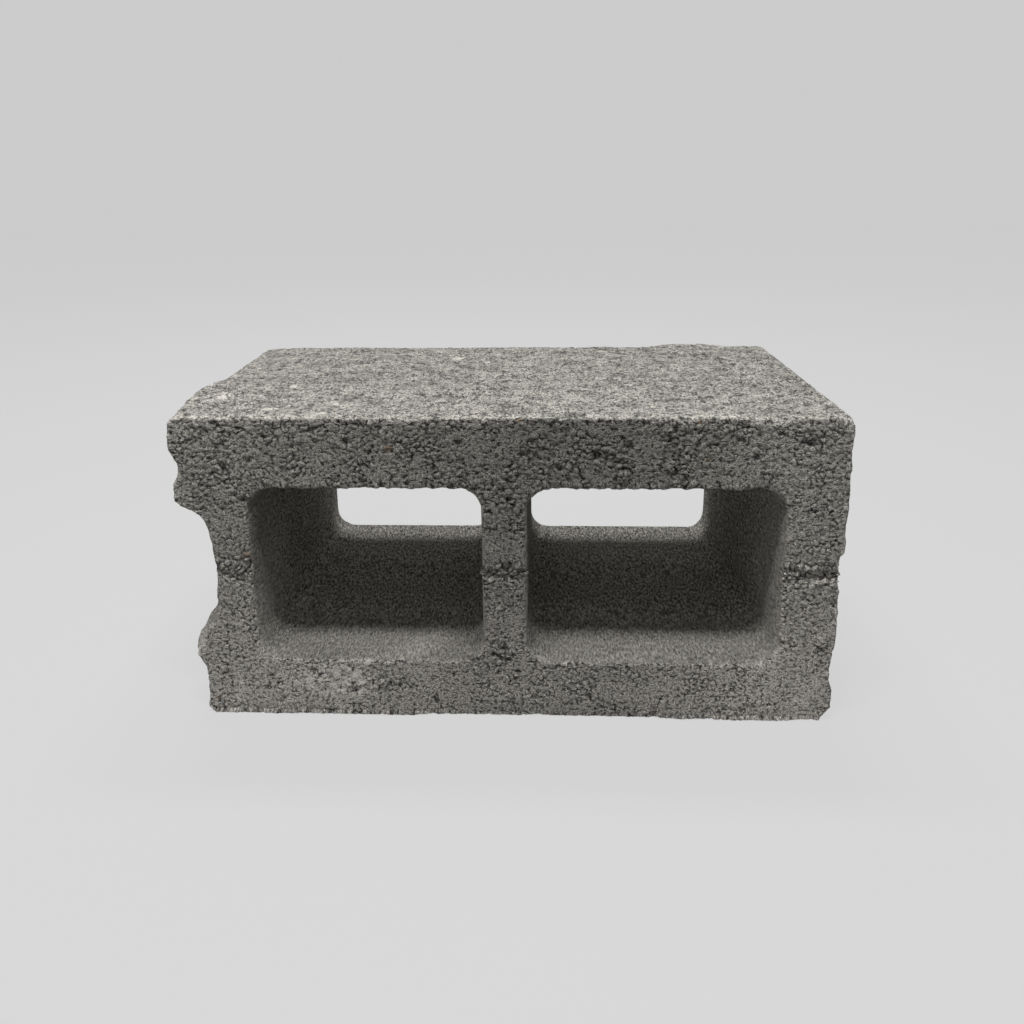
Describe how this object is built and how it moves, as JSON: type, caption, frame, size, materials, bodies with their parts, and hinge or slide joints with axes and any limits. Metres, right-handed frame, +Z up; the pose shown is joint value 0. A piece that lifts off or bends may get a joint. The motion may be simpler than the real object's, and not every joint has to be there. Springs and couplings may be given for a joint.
{
  "type": "concrete block",
  "caption": "Hollow concrete masonry block with tapered square cores, a plain end and a frogged end with grooved ears.",
  "frame": {"origin": "middle of the block's resting face, the outer face of its lower shell", "axes": "+X along the length towards the plain end, +Y along the cores towards the bed face with the thicker walls, +Z up across the face shells"},
  "size_m": [0.39, 0.19, 0.192],
  "materials": {
    "concrete": "open-textured grey concrete, worn, with crumbled edges"
  },
  "bodies": {
    "root": {"concrete_block": "concrete"}
  },
  "joints": []
}
